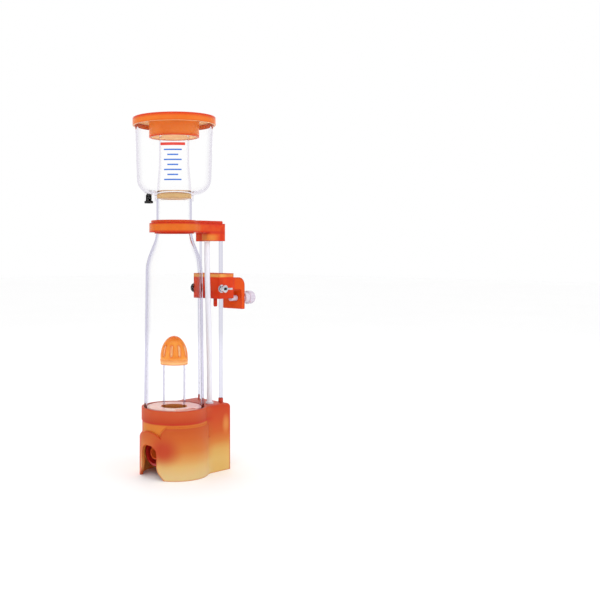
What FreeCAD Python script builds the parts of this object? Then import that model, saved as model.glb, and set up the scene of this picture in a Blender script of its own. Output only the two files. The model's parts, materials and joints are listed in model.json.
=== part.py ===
import FreeCAD, Part
import math
import os
import re
import Sketcher

# Hang-on protein skimmer for small aquariums. Millimetres, +Z up.
# Origin: the reaction chamber's axis, in the plane that the base stands on.
# +X points from the pump's intake to the back of the base, where the guide rods and the tank clamp are.

DIMENSIONS = {
    # gaps between fitted pieces, and how far a cutting piece reaches past what it cuts
    "press_gap": 0.02,
    "rod_gap": 0.03,
    "socket_gap": 0.05,
    "screw_gap": 0.08,
    "fit_gap": 0.1,
    "loose_gap": 0.3,
    "overshoot": 1.0,
    "bore_reach": 60.0,
    # base: a round lobe and drum under the chamber, a square block behind it
    "wall": 3.2,
    "base_height": 70.0,
    "lobe_radius": 36.0,
    "lobe_height": 43.5,
    "lobe_round": 5.0,
    "hood_radius": 23.0,
    "bulge_height": 54.5,
    "bulge_left": 26.0,
    "bulge_right": 40.0,
    "bulge_round": 5.0,
    "bulge_corner": 12.0,
    "bulge_angle": 252.5,
    "drum_radius": 33.3,
    "flange_radius": 34.0,
    "flange_height": 13.0,
    "block_end": 58.5,
    "block_half": 26.5,
    "block_corner": 3.5,
    "block_round": 4.0,
    "fairing_radius": 14.0,
    "floor_thickness": 8.0,
    "floor_hole": 13.5,
    "slot_ring": 24.0,
    "slot_half_width": 3.2,
    "slot_angle": 46.0,
    "mouth_half": 11.0,
    "mouth_height": 34.0,
    "mouth_flare": 18.5,
    "mouth_flare_height": 9.5,
    "mouth_round": 8.5,
    "mouth_flare_round": 14.0,
    "mouth_below": 5.0,
    "mouth_end": 20.0,
    "cable_notch": 4.0,
    "rib_thickness": 2.0,
    "rib_height": 44.0,
    "rib_foot": 2.0,
    "rib_near": 28.0,
    "rib_far": 40.0,
    # reaction chamber and its neck
    "chamber_foot": 66.7,
    "chamber_radius": 31.5,
    "chamber_wall": 2.8,
    "gasket_thickness": 1.4,
    "shoulder_radius": 29.6,
    "shoulder_low": 220.5,
    "shoulder_low_round": 55.0,
    "shoulder_high_radius": 19.0,
    "shoulder_high": 246.0,
    "shoulder_high_round": 40.0,
    "shoulder_step": 0.5,
    "neck_radius": 18.5,
    "neck_start": 257.0,
    "neck_top": 286.1,
    # bubble tube and diffuser
    "tube_radius": 11.8,
    "tube_bore": 9.9,
    "tube_foot": 42.0,
    "tube_top": 120.0,
    "cap_radius": 14.4,
    "cap_skirt_foot": 114.0,
    "cap_dome_foot": 121.0,
    "cap_height": 22.3,
    "cap_wall": 2.2,
    "cap_bead_radius": 14.75,
    "cap_bead_height": 1.2,
    "cap_bead_foot": 117.6,
    "cap_slot_start": 6.0,
    "cap_slot_half": 1.25,
    "cap_slot_low": 124.0,
    "cap_slot_high": 133.0,
    # pump, with its shaft along X
    "pump_axis": 25.0,
    "volute_front": -14.0,
    "motor_front": 12.2,
    "motor_length": 33.0,
    "motor_radius": 17.6,
    "motor_round": 3.0,
    "gland_radius": 5.0,
    "gland_tip_radius": 3.6,
    "gland_length": 7.0,
    "gland_round": 0.8,
    "cord_radius": 2.2,
    "volute_radius": 16.6,
    "volute_wall": 2.6,
    "outlet_radius": 9.8,
    "outlet_bore": 8.0,
    "outlet_top": 52.0,
    "suction_bore": 8.0,
    "hub_wall": 1.2,
    "spoke_bite": 0.5,
    "spoke_height": 1.6,
    "intake_radius": 13.0,
    "intake_bore": 10.8,
    "intake_front": -28.0,
    "nozzle_radius": 6.5,
    "nozzle_bore": 5.0,
    "nozzle_inset": 1.0,
    "nozzle_back": 3.0,
    "fin_length": 6.0,
    "fin_ahead": 2.0,
    "fin_height": 1.5,
    "port_position": -21.0,
    "port_radius": 1.9,
    "port_bore": 1.1,
    "port_top": 47.0,
    "rotor_well": 7.4,
    "well_length": 30.0,
    "magnet_radius": 6.7,
    "magnet_length": 26.0,
    "rotor_gap": 1.0,
    "shaft_radius": 1.5,
    "shaft_short": 0.2,
    "bore_radius": 1.58,
    "wheel_radius": 11.0,
    "wheel_hub_radius": 3.4,
    "wheel_gap": 0.6,
    "wheel_disc_height": 2.0,
    "wheel_disc_back": 3.0,
    "needle_radius": 0.6,
    "needle_reach": 15.0,
    "needle_length": 12.5,
    "bush_radius": 3.0,
    "rear_bush_length": 2.6,
    # guide rods and their ferrules
    "rod_position": 53.3,
    "rod_spread": 15.5,
    "front_rod_radius": 2.1,
    "rear_rod_radius": 1.35,
    "rod_foot": 60.5,
    "rod_top": 256.0,
    "ferrule_wall": 0.5,
    "ferrule_foot": 60.0,
    "ferrule_top": 74.6,
    "rod_boss_radius": 4.2,
    "rod_boss_below": 4.0,
    # neck bracket
    "bracket_foot": 251.3,
    "bracket_step": 261.0,
    "bracket_top": 264.0,
    "bracket_inset": 1.8,
    "bracket_ring": 26.0,
    "bracket_bore": 18.8,
    "bracket_lip": 20.6,
    "bracket_end": 57.6,
    "bracket_half": 19.5,
    "bracket_block_foot": 242.5,
    "bracket_pad_near": 31.0,
    "bracket_pad_boss": 33.4,
    "bracket_pad_split": 6.0,
    "bracket_pad_far": 48.6,
    "bracket_fairing": 12.0,
    "bracket_corner": 3.0,
    "bracket_edge": 1.0,
    "bracket_lip_height": 1.2,
    "bracket_pad_round": 3.0,
    "bracket_pad_end_round": 2.0,
    "bracket_pad_inner_round": 4.0,
    "bracket_relief": 0.6,
    "bracket_relief_height": 3.0,
    "rod_top_gap": 0.2,
    # air hose and its fittings
    "hose_radius": 2.9,
    "hose_bore": 1.95,
    "inner_hose_radius": 2.6,
    "barb_radius": 1.9,
    "barb_bore": 1.1,
    "barb_body_radius": 2.35,
    "barb_body_foot": 61.0,
    "barb_foot": 54.0,
    "barb_reach": 9.0,
    "barb_hole_foot": 55.0,
    "barb_flange_radius": 4.2,
    "barb_flange_height": 1.4,
    "upper_barb_reach": 8.0,
    "upper_barb_lip": 0.3,
    "hose_foot_x": 39.0,
    "hose_foot_y": -13.0,
    "hose_head_x": 37.2,
    "hose_head_y": -11.0,
    "hose_foot": 71.6,
    "hose_head": 248.0,
    # tank clamp
    "slider_near": 46.0,
    "slider_far": 68.3,
    "slider_half": 20.5,
    "slider_back": 18.5,
    "slider_foot": 181.0,
    "slider_top": 208.0,
    "slider_rim": 4.0,
    "slider_rim_wall": 2.0,
    "slider_edge": 0.8,
    "slider_wall": 2.5,
    "slider_rod_wall": 4.0,
    "slider_hollow_height": 13.0,
    "slider_notch_depth": 1.3,
    "slider_notch_width": 14.0,
    "slider_notch_height": 7.4,
    "slider_notch_start": 10.0,
    "jaw_inner": 80.0,
    "jaw_outer": 85.5,
    "jaw_foot": 168.8,
    "jaw_top": 203.4,
    "jaw_bridge": 190.0,
    "jaw_left": 7.5,
    "jaw_width": 27.7,
    "jaw_round": 9.0,
    "hook_root": 3.0,
    "hook_inner_round": 2.5,
    "tab_foot": 170.8,
    "tab_half": 1.9,
    "tab_thickness": 2.2,
    "tab_y": 6.8,
    "bolt_x": 49.0,
    "bolt_z": 191.8,
    "bolt_radius": 1.5,
    "bolt_head_radius": 5.1,
    "bolt_head_height": 4.4,
    "bolt_head_round": 2.6,
    "bolt_socket_floor": 2.0,
    "bolt_end": 7.2,
    "washer_radius": 4.3,
    "washer_height": 0.8,
    "nut_radius": 3.6,
    "nut_length": 5.4,
    "nut_flare": 0.4,
    "nut_taper": 0.6,
    "nut_round": 0.8,
    "wing_thickness": 2.0,
    "wing_tip_round": 1.5,
    "wing_heel_round": 1.2,
    "screw_y": -12.0,
    "screw_z": 180.7,
    "screw_radius": 3.15,
    "screw_tip_x": 71.0,
    "screw_tip_length": 2.35,
    "screw_tip_round": 0.9,
    "screw_edge": 0.5,
    "knob_x": 91.0,
    "knob_collar_radius": 6.0,
    "knob_collar_length": 6.0,
    "knob_radius": 7.3,
    "knob_length": 8.0,
    "knob_edge": 0.8,
    "knob_end_round": 2.0,
    "grip_radius": 1.3,
    "grip_out": 0.8,
    # collection cup, riser, lid and drain plug
    "cup_foot": 291.0,
    "cup_floor": 3.0,
    "cup_top": 366.8,
    "cup_low_radius": 38.2,
    "cup_top_radius": 41.0,
    "cup_wall": 2.7,
    "cup_round": 16.0,
    "cup_rim_round": 0.9,
    "collar_foot": 283.8,
    "collar_radius": 20.4,
    "collar_bore": 18.82,
    "collar_step": 1.9,
    "collar_round": 2.6,
    "riser_foot": 293.1,
    "riser_foot_radius": 18.2,
    "riser_radius": 15.8,
    "riser_flare_top": 322.0,
    "riser_top": 352.0,
    "riser_wall": 2.0,
    "riser_lip_round": 0.7,
    "seal_foot": 286.4,
    "seal_radius": 18.0,
    "seal_bore": 15.2,
    "seal_edge": 0.8,
    "seal_foot_round": 1.4,
    "lid_foot": 362.6,
    "lid_top": 371.2,
    "lid_plate": 4.1,
    "lid_radius": 43.5,
    "lid_rim_bore": 41.35,
    "lid_skirt_radius": 26.2,
    "lid_skirt_wall": 2.2,
    "lid_skirt_foot": 350.3,
    "lid_top_round": 1.2,
    "lid_rim_round": 0.9,
    "lid_skirt_root_round": 1.5,
    "lid_skirt_edge": 0.5,
    "drain_ring": 26.5,
    "drain_foot": 284.4,
    "drain_radius": 4.3,
    "drain_bore": 3.12,
    "drain_boss_bite": 2.0,
    "drain_hole_reach": 8.0,
    "plug_radius": 3.08,
    "plug_flange": 4.6,
    "plug_flange_height": 2.5,
    "plug_length": 10.0,
    "plug_flange_edge": 0.7,
    "plug_shoulder_round": 0.9,
    "plug_tip_round": 2.2,
}

DRAIN_ANGLE = 138.0
SLOT_CENTRE_ANGLE = -101.0
CAP_SLOTS = 10
NEEDLE_RINGS = ((5.2, 6), (8.0, 10), (10.0, 14))
KNOB_GRIPS = 10
# a wing of the wing nut: out from the bolt's axis, then away from the washer
WING_OUTLINE = (("2.4", "0.8"), ("3.9", "0.6"), ("8.4", "5.6"), ("7.6", "9.2"), ("5.4", "8.8"),
                ("2.2", "4.8"))
ROUTE_SHARE = 0.45

TURN_TO_X = FreeCAD.Rotation(FreeCAD.Vector(0, 1, 0), 90)
TURN_TO_Y = FreeCAD.Rotation(FreeCAD.Vector(1, 0, 0), -90)
UPRIGHT = FreeCAD.Rotation()
DIRECTIONS = {"X": TURN_TO_X, "Y": TURN_TO_Y, "Z": UPRIGHT}

doc = FreeCAD.newDocument("protein_skimmer")
sheet = doc.addObject("Spreadsheet::Sheet", "dims")
for row, (alias, number) in enumerate(DIMENSIONS.items(), start=1):
    sheet.set("A%d" % row, alias)
    sheet.set("B%d" % row, repr(number))
    sheet.setAlias("B%d" % row, alias)
doc.recompute()

NODES = []


def formula(text):
    """Turn a formula in plain aliases into one that reads the sheet's cells."""
    def cell(match):
        word = match.group()
        return "dims." + word if word in DIMENSIONS else word
    return re.sub(r"[a-z][a-z_]*", cell, str(text))


def place(feature, at=("0", "0", "0"), along="Z", spin=0.0):
    """Put a feature at a point given by formulas, with its own Z along an axis."""
    spun = FreeCAD.Rotation(FreeCAD.Vector(0, 0, 1), spin)
    feature.Placement = FreeCAD.Placement(FreeCAD.Vector(), spun.multiply(DIRECTIONS[along]))
    for axis, text in zip("xyz", at):
        feature.setExpression("Placement.Base." + axis, formula(text))
    return feature


def cylinder(name, radius, length, at=("0", "0", "0"), along="Z"):
    feature = doc.addObject("Part::Cylinder", name)
    feature.setExpression("Radius", formula(radius))
    feature.setExpression("Height", formula(length))
    return place(feature, at, along)


def box(name, x_size, y_size, z_size, at):
    """A box whose lowest corner is at the point."""
    feature = doc.addObject("Part::Box", name)
    feature.setExpression("Length", formula(x_size))
    feature.setExpression("Width", formula(y_size))
    feature.setExpression("Height", formula(z_size))
    return place(feature, at)


def fuse(name, pieces):
    feature = doc.addObject("Part::MultiFuse", name)
    feature.Shapes = pieces
    feature.Refine = True
    return feature


def cut(name, base, tools):
    """Take every tool away from the base, in one boolean."""
    feature = doc.addObject("Part::Cut", name)
    feature.Base = base
    feature.Tool = tools[0] if len(tools) == 1 else fuse(name + "_tools", tools)
    feature.Refine = True
    return feature


def sleeve(name, outer, inner, length, at=("0", "0", "0"), along="Z"):
    """A round tube."""
    shell = cylinder(name + "_outer", outer, length, at, along)
    bore = cylinder(name + "_bore", inner, length, at, along)
    return cut(name, shell, [bore])


def node(feature):
    """Keep a finished feature as a sub-part; its name is its label."""
    feature.Label = feature.Name
    NODES.append(feature)
    return feature


def attach(body, sketch, role):
    for plane in body.Origin.OriginFeatures:
        if plane.Role == role:
            sketch.AttachmentSupport = [(plane, "")]
            sketch.MapMode = "FlatFace"


def outline_sketch(body, name, role, corners):
    """A closed outline of straight edges, each corner held at two formulas."""
    sketch = body.newObject("Sketcher::SketchObject", name)
    attach(body, sketch, role)
    count = len(corners)
    spread = [FreeCAD.Vector(math.cos(math.tau * i / count), math.sin(math.tau * i / count), 0)
              for i in range(count)]
    lines = [Part.LineSegment(spread[i], spread[(i + 1) % count]) for i in range(count)]
    numbers = [[number_of(text) for text in corner] for corner in corners]
    for i, line in enumerate(lines):
        line.StartPoint = FreeCAD.Vector(*numbers[i], 0)
        line.EndPoint = FreeCAD.Vector(*numbers[(i + 1) % count], 0)
    sketch.addGeometry(lines, False)
    for i in range(count):
        sketch.addConstraint(Sketcher.Constraint("Coincident", i, 2, (i + 1) % count, 1))
    for i, corner in enumerate(corners):
        for kind, letter, text, number in zip(("DistanceX", "DistanceY"), "ab", corner, numbers[i]):
            index = sketch.addConstraint(Sketcher.Constraint(kind, -1, 1, i, 1, number))
            sketch.renameConstraint(index, "%s_%d" % (letter, i))
            sketch.setExpression("Constraints.%s_%d" % (letter, i), formula(text))
    return sketch, numbers


scratch = doc.addObject("Part::Box", "formula_reader")


def number_of(text):
    """The present value of a formula, worked out by the document itself."""
    scratch.setExpression("Placement.Base.x", formula(text))
    scratch.recompute()
    return scratch.Placement.Base.x


def round_edges(body, name, radius, wanted):
    """Fillet those edges of the body's tip that the test picks."""
    doc.recompute()
    picked = ["Edge%d" % (i + 1) for i, edge in enumerate(body.Tip.Shape.Edges) if wanted(edge)]
    if not picked:
        raise RuntimeError("no edge to round: " + name)
    base = body.Tip
    fillet = body.newObject("PartDesign::Fillet", name)
    fillet.Base = (base, picked)
    fillet.setExpression("Radius", formula(radius))
    body.Tip = fillet
    return fillet


def circle_at(radius, height):
    """A test for the circular edge of a turned piece at one radius and height."""
    def wanted(edge):
        curve = edge.Curve
        if not isinstance(curve, Part.Circle):
            return False
        return abs(curve.Radius - radius) < 0.02 and abs(curve.Center.z - height) < 0.02
    return wanted


def upright_at(first, second, flat_axes):
    """A test for a straight edge that crosses the outline's plane at one corner."""
    def wanted(edge):
        ends = [vertex.Point for vertex in edge.Vertexes]
        if len(ends) != 2:
            return False
        return all(abs(getattr(end, flat_axes[0]) - first) < 0.02
                   and abs(getattr(end, flat_axes[1]) - second) < 0.02 for end in ends)
    return wanted


def turned(name, corners, rounds=None, at=("0", "0", "0"), along="Z"):
    """A body of revolution: corners are (radius, height), rounds maps a corner to its fillet."""
    body = doc.addObject("PartDesign::Body", name)
    sketch, numbers = outline_sketch(body, name + "_profile", "XZ_Plane", corners)
    spin = body.newObject("PartDesign::Revolution", name + "_turn")
    spin.Profile = sketch
    spin.ReferenceAxis = (sketch, ["V_Axis"])
    spin.Angle = 360
    body.Tip = spin
    for index, radius in (rounds or {}).items():
        round_edges(body, "%s_round_%d" % (name, index), radius, circle_at(*numbers[index]))
    return place(body, at, along)


def plate(name, corners, thickness, rounds=None, at=("0", "0", "0"), role="XY_Plane"):
    """A flat outline given thickness: up from XY, towards -Y from XZ, towards +X from YZ."""
    body = doc.addObject("PartDesign::Body", name)
    sketch, numbers = outline_sketch(body, name + "_outline", role, corners)
    pad = body.newObject("PartDesign::Pad", name + "_pad")
    pad.Profile = sketch
    pad.setExpression("Length", formula(thickness))
    body.Tip = pad
    flat_axes = role[:2].lower()
    for index, radius in (rounds or {}).items():
        test = upright_at(*numbers[index], flat_axes)
        round_edges(body, "%s_round_%d" % (name, index), radius, test)
    return place(body, at)


def outer_edge(shape, edge):
    """True where an edge lies between a level face and an upright one, with nothing beyond it."""
    faces = shape.ancestorsOfType(edge, Part.Face)
    level = [face for face in faces if face.BoundBox.ZLength < 0.01]
    return len(faces) == 2 and len(level) == 1


def softened(name, solid, radius, height):
    """Fillet the outer outline of a flat-topped solid at the given height."""
    doc.recompute()
    level = number_of(height)
    size = number_of(radius)
    picked = []
    for index, edge in enumerate(solid.Shape.Edges, start=1):
        bounds = edge.BoundBox
        if abs(bounds.ZMin - level) < 0.01 and abs(bounds.ZMax - level) < 0.01 \
                and outer_edge(solid.Shape, edge):
            picked.append((index, size, size))
    fillet = doc.addObject("Part::Fillet", name)
    fillet.Base = solid
    fillet.Edges = picked
    return fillet


def fairing(name, circle, half_width, blend, foot, height):
    """Two fillets in plan, between a round column and the flat sides of the block beside it."""
    reach = "sqrt((%s + %s)^2 - (%s + %s)^2)" % (circle, blend, half_width, blend)
    wedge_half = "(%s + %s)" % (half_width, blend)
    corners = [("0", "0"), (reach, "-" + wedge_half), (reach, wedge_half)]
    wedge = plate(name + "_wedge", corners, height, at=("0", "0", foot))
    bites = [cylinder("%s_bite_%d" % (name, i), blend, height, (reach, side + wedge_half, foot))
             for i, side in enumerate(("", "-"))]
    return cut(name, wedge, bites)


# --- base ---------------------------------------------------------------------------------------

def lobe_column(name, height, rounding):
    """A round column of the lobe's radius with a rounded top edge."""
    return turned(name, [("0", "0"), ("lobe_radius", "0"), ("lobe_radius", height), ("0", height)],
                  {2: rounding})


def common(name, base, tool):
    shared = doc.addObject("Part::Common", name)
    shared.Base = base
    shared.Tool = tool
    return shared


def intake_hood():
    """The lobe rises in an arch over the pump's mouth, round the pump's own axis."""
    arch = cylinder("hood_arch", "hood_radius", "lobe_radius + overshoot",
                    ("-lobe_radius - overshoot", "0", "pump_axis"), "X")
    return common("base_hood", lobe_column("hood_column", "bulge_height", "bulge_round"), arch)


def front_bulge():
    """The higher stretch of the lobe, from beside the mouth round to the block."""
    face = plate("bulge_face", [("-bulge_left", "0"), ("bulge_right", "0"),
                                ("bulge_right", "bulge_height + overshoot"),
                                ("-bulge_left", "bulge_height + overshoot")],
                 "lobe_radius + overshoot", {3: "bulge_corner"}, role="XZ_Plane")
    place(face, spin=DIMENSIONS["bulge_angle"] - 270.0)
    return common("base_bulge", lobe_column("bulge_column", "bulge_height", "bulge_round"), face)


def base_solid():
    lobe = lobe_column("base_lobe", "lobe_height", "lobe_round")
    drum = cylinder("base_drum", "drum_radius", "base_height")
    flange = cylinder("base_flange", "flange_radius", "flange_height",
                      ("0", "0", "base_height - flange_height"))
    block = plate("base_block", [("0", "-block_half"), ("block_end", "-block_half"),
                                 ("block_end", "block_half"), ("0", "block_half")],
                  "base_height", {1: "block_corner", 2: "block_corner"})
    top = DIMENSIONS["base_height"]
    round_edges(block, "base_block_top_round", "block_round",
                lambda edge: edge.BoundBox.ZMin > top - 0.01 and edge.BoundBox.XMax > 5.0)
    low = fairing("base_low_fairing", "lobe_radius", "block_half", "fairing_radius",
                  "0", "lobe_height - lobe_round")
    sides = [intake_hood(), front_bulge()]
    high = fairing("base_high_fairing", "drum_radius", "block_half", "fairing_radius",
                   "0", "base_height - block_round")
    return fuse("base_outside", [lobe, drum, flange, block, low, high] + sides)


def base_hollows():
    deep = "base_height - floor_thickness + overshoot"
    lobe = cylinder("lobe_hollow", "lobe_radius - wall", "lobe_height - wall + overshoot",
                    ("0", "0", "-overshoot"))
    drum = cylinder("drum_hollow", "drum_radius - wall", deep, ("0", "0", "-overshoot"))
    block = box("block_hollow", "block_end - wall", "2 * (block_half - wall)", deep,
                ("0", "wall - block_half", "-overshoot"))
    return [lobe, drum, block]


def kidney_slot():
    """The curved slot in the chamber floor through which cleaned water leaves."""
    depth = "floor_thickness + 2 * overshoot"
    foot = "base_height - floor_thickness - overshoot"
    sector = cylinder("slot_sector", "slot_ring + slot_half_width", depth, ("0", "0", foot))
    sector.setExpression("Angle", formula("slot_angle"))
    start = SLOT_CENTRE_ANGLE - DIMENSIONS["slot_angle"] / 2
    place(sector, ("0", "0", foot), spin=start)
    core = cylinder("slot_core", "slot_ring - slot_half_width", depth, ("0", "0", foot))
    band = cut("slot_band", sector, [core])
    ends = []
    for i, sign in enumerate((-1, 1)):
        angle = math.radians(SLOT_CENTRE_ANGLE + sign * DIMENSIONS["slot_angle"] / 2)
        where = ("slot_ring * %.6f" % math.cos(angle), "slot_ring * %.6f" % math.sin(angle), foot)
        ends.append(cylinder("slot_end_%d" % i, "slot_half_width", depth, where))
    return [band] + ends


def base_openings():
    mouth_corners = [("-mouth_flare - overshoot", "-mouth_below"),
                     ("mouth_flare + overshoot", "-mouth_below"), ("mouth_flare", "0"),
                     ("mouth_half", "mouth_flare_height"), ("mouth_half", "mouth_height"),
                     ("-mouth_half", "mouth_height"), ("-mouth_half", "mouth_flare_height"),
                     ("-mouth_flare", "0")]
    mouth = plate("pump_mouth", mouth_corners, "lobe_radius", {3: "mouth_flare_round", 4: "mouth_round",
                  5: "mouth_round", 6: "mouth_flare_round"},
                  ("-lobe_radius - mouth_end", "0", "0"), "YZ_Plane")
    floor_hole = cylinder("floor_hole_cut", "floor_hole", "floor_thickness + 2 * overshoot",
                          ("0", "0", "base_height - floor_thickness - overshoot"))
    groove = sleeve("chamber_groove", "chamber_radius + fit_gap",
                    "chamber_radius - chamber_wall - loose_gap", "base_height",
                    ("0", "0", "chamber_foot - gasket_thickness"))
    cable = cylinder("cable_notch_round", "cable_notch", "3 * wall",
                     ("block_end - 2 * wall", "0", "cable_notch"), "X")
    cable_foot = box("cable_notch_foot", "3 * wall", "2 * cable_notch", "cable_notch + overshoot",
                     ("block_end - 2 * wall", "-cable_notch", "-overshoot"))
    barb = cylinder("barb_hole", "barb_body_radius + socket_gap", "base_height",
                    ("hose_foot_x", "hose_foot_y", "barb_hole_foot"))
    return [mouth, floor_hole, groove, cable, cable_foot, barb] + kidney_slot()


def ferrule_places():
    return (("front", "front_rod_radius", "-rod_spread"), ("rear", "rear_rod_radius", "rod_spread"))


def base_inside():
    """Ribs that cradle the pump, and the bosses that hold the rods' ferrules."""
    ribs = []
    for i, where in enumerate(("rib_near", "rib_far")):
        rib = box("rib_%d_plate" % i, "rib_thickness", "2 * block_half - wall", "rib_height",
                  (where, "wall / 2 - block_half", "rib_foot"))
        ring = cylinder("rib_%d_notch" % i, "motor_radius + socket_gap", "rib_thickness",
                        (where, "0", "pump_axis"), "X")
        ribs.append(cut("rib_%d" % i, rib, [ring]))
    boss_height = "base_height - ferrule_foot - block_round + rod_boss_below"
    bosses = [cylinder("rod_boss_" + name, "rod_boss_radius", boss_height,
                       ("rod_position", y, "ferrule_foot - rod_boss_below"))
              for name, _, y in ferrule_places()]
    return ribs + bosses


def base_housing():
    shell = cut("base_shell", base_solid(), base_hollows())
    filled = fuse("base_with_ribs", [shell] + base_inside())
    sockets = [cylinder("ferrule_hole_" + name, radius + " + ferrule_wall + press_gap", "base_height",
                        ("rod_position", y, "ferrule_foot"))
               for name, radius, y in ferrule_places()]
    node(cut("base_housing", filled, base_openings() + sockets))


def rod_ferrules():
    sleeves = [sleeve("ferrule_" + name, radius + " + ferrule_wall", radius + " + press_gap",
                      "ferrule_top - ferrule_foot", ("rod_position", y, "ferrule_foot"))
               for name, radius, y in ferrule_places()]
    node(fuse("rod_ferrules", sleeves))


# --- chamber, bubble tube and diffuser ----------------------------------------------------------

def reaction_chamber():
    outer = [("chamber_radius", "chamber_foot"), ("shoulder_radius", "shoulder_low"),
             ("shoulder_high_radius", "shoulder_high"), ("neck_radius", "neck_start"),
             ("neck_radius", "neck_top")]
    inner = [("neck_radius - chamber_wall", "neck_top"), ("neck_radius - chamber_wall", "neck_start"),
             ("shoulder_high_radius - chamber_wall", "shoulder_high - shoulder_step"),
             ("shoulder_radius - chamber_wall", "shoulder_low - shoulder_step"),
             ("chamber_radius - chamber_wall", "chamber_foot")]
    rounds = {1: "shoulder_low_round", 2: "shoulder_high_round",
              7: "shoulder_high_round", 8: "shoulder_low_round"}
    node(turned("reaction_chamber", outer + inner, rounds))
    node(sleeve("chamber_seal", "chamber_radius", "chamber_radius - chamber_wall",
                "gasket_thickness", ("0", "0", "chamber_foot - gasket_thickness")))


def bubble_tube():
    node(sleeve("bubble_tube", "tube_radius", "tube_bore", "tube_top - tube_foot",
                ("0", "0", "tube_foot")))


def half_ellipsoid(name, height, radius, foot):
    feature = doc.addObject("Part::Ellipsoid", name)
    feature.setExpression("Radius1", formula(height))
    feature.setExpression("Radius2", formula(radius))
    feature.setExpression("Radius3", formula(radius))
    feature.Angle1 = 0
    feature.Angle2 = 90
    feature.Angle3 = 360
    return place(feature, ("0", "0", foot))


def diffuser_cap():
    """A bullet-shaped cap on the bubble tube, with tall slots that let the bubbles out."""
    skirt = cylinder("cap_skirt", "cap_radius", "cap_dome_foot - cap_skirt_foot",
                     ("0", "0", "cap_skirt_foot"))
    bead = cylinder("cap_bead", "cap_bead_radius", "cap_bead_height", ("0", "0", "cap_bead_foot"))
    dome = half_ellipsoid("cap_dome", "cap_height", "cap_radius", "cap_dome_foot")
    bore = cylinder("cap_bore", "tube_radius + socket_gap", "cap_dome_foot - cap_skirt_foot",
                    ("0", "0", "cap_skirt_foot"))
    hollow = half_ellipsoid("cap_hollow", "cap_height - cap_wall", "cap_radius - cap_wall",
                            "cap_dome_foot")
    slots = []
    for i in range(CAP_SLOTS):
        turn = 360.0 * i / CAP_SLOTS
        slot = box("cap_slot_%d" % i, "cap_radius", "2 * cap_slot_half",
                   "cap_slot_high - cap_slot_low", ("0", "0", "0"))
        side = math.radians(turn)
        shift = ("cap_slot_half * %.6f + cap_slot_start * %.6f" % (math.sin(side), math.cos(side)),
                 "-cap_slot_half * %.6f + cap_slot_start * %.6f" % (math.cos(side), math.sin(side)),
                 "cap_slot_low")
        slots.append(place(slot, shift, spin=turn))
        for end, height in (("low", "cap_slot_low"), ("high", "cap_slot_high")):
            peg = cylinder("cap_slot_%d_%s" % (i, end), "cap_slot_half", "cap_radius")
            where = ("cap_slot_start * %.6f" % math.cos(side),
                     "cap_slot_start * %.6f" % math.sin(side), height)
            slots.append(place(peg, where, "X", turn))
    body = fuse("cap_solid", [skirt, bead, dome])
    node(cut("diffuser_cap", body, [bore, hollow] + slots))


# --- pump ---------------------------------------------------------------------------------------

def volute_housing():
    length = "motor_front - volute_front"
    drum = cylinder("volute_drum", "volute_radius", length, ("volute_front", "0", "pump_axis"), "X")
    spigot = cylinder("volute_spigot", "outlet_radius", "outlet_top - pump_axis",
                      ("0", "0", "pump_axis"))
    chamber = cylinder("volute_chamber", "volute_radius - volute_wall", length,
                       ("volute_front + volute_wall", "0", "pump_axis"), "X")
    outlet = cylinder("volute_outlet", "outlet_bore", "outlet_top - pump_axis",
                      ("0", "0", "pump_axis"))
    suction = cylinder("volute_suction", "suction_bore", "volute_wall + 2 * overshoot",
                       ("volute_front - overshoot", "0", "pump_axis"), "X")
    shell = cut("volute_shell", fuse("volute_solid", [drum, spigot]), [chamber, outlet, suction])
    hub = cylinder("volute_hub", "bush_radius + hub_wall", "volute_wall",
                   ("volute_front", "0", "pump_axis"), "X")
    spoke = box("volute_spoke", "volute_wall", "2 * (suction_bore + spoke_bite)", "spoke_height",
                ("volute_front", "-suction_bore - spoke_bite", "pump_axis - spoke_height / 2"))
    bush_seat = cylinder("volute_bush_seat", "bush_radius", "volute_wall",
                         ("volute_front", "0", "pump_axis"), "X")
    node(cut("volute_housing", fuse("volute_spider", [shell, hub, spoke]), [bush_seat]))


def intake_collar():
    at = ("intake_front", "0", "pump_axis")
    collar = sleeve("intake_tube", "intake_radius", "intake_bore", "volute_front - intake_front",
                    at, "X")
    port_hole = cylinder("intake_port_hole", "port_radius + fit_gap", "port_top - pump_axis",
                         ("port_position", "0", "pump_axis"))
    node(cut("intake_collar", collar, [port_hole]))


def venturi_nozzle():
    """The tube in the intake that draws air into the water, with its air port on top."""
    length = "volute_front - nozzle_back - intake_front - nozzle_inset"
    at = ("intake_front + nozzle_inset", "0", "pump_axis")
    tube = cylinder("nozzle_tube", "nozzle_radius", length, at, "X")
    port = cylinder("nozzle_port", "port_radius", "port_top - pump_axis",
                    ("port_position", "0", "pump_axis"))
    fin = box("nozzle_fin", "fin_length", "2 * (intake_bore - socket_gap)", "fin_height",
              ("port_position - fin_ahead", "socket_gap - intake_bore", "pump_axis - fin_height / 2"))
    bore = cylinder("nozzle_bore_cut", "nozzle_bore", length, at, "X")
    port_bore = cylinder("nozzle_port_bore", "port_bore", "port_top - pump_axis",
                         ("port_position", "0", "pump_axis"))
    node(cut("venturi_nozzle", fuse("nozzle_solid", [tube, port, fin]), [bore, port_bore]))


def pump_motor_body():
    can = turned("motor_can", [("0", "0"), ("motor_radius", "0"), ("motor_radius", "motor_length"),
                               ("0", "motor_length")], {2: "motor_round"},
                 ("motor_front", "0", "pump_axis"), "X")
    well = cylinder("rotor_well_cut", "rotor_well", "well_length", ("motor_front", "0", "pump_axis"),
                    "X")
    node(cut("pump_motor_body", can, [well]))


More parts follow.
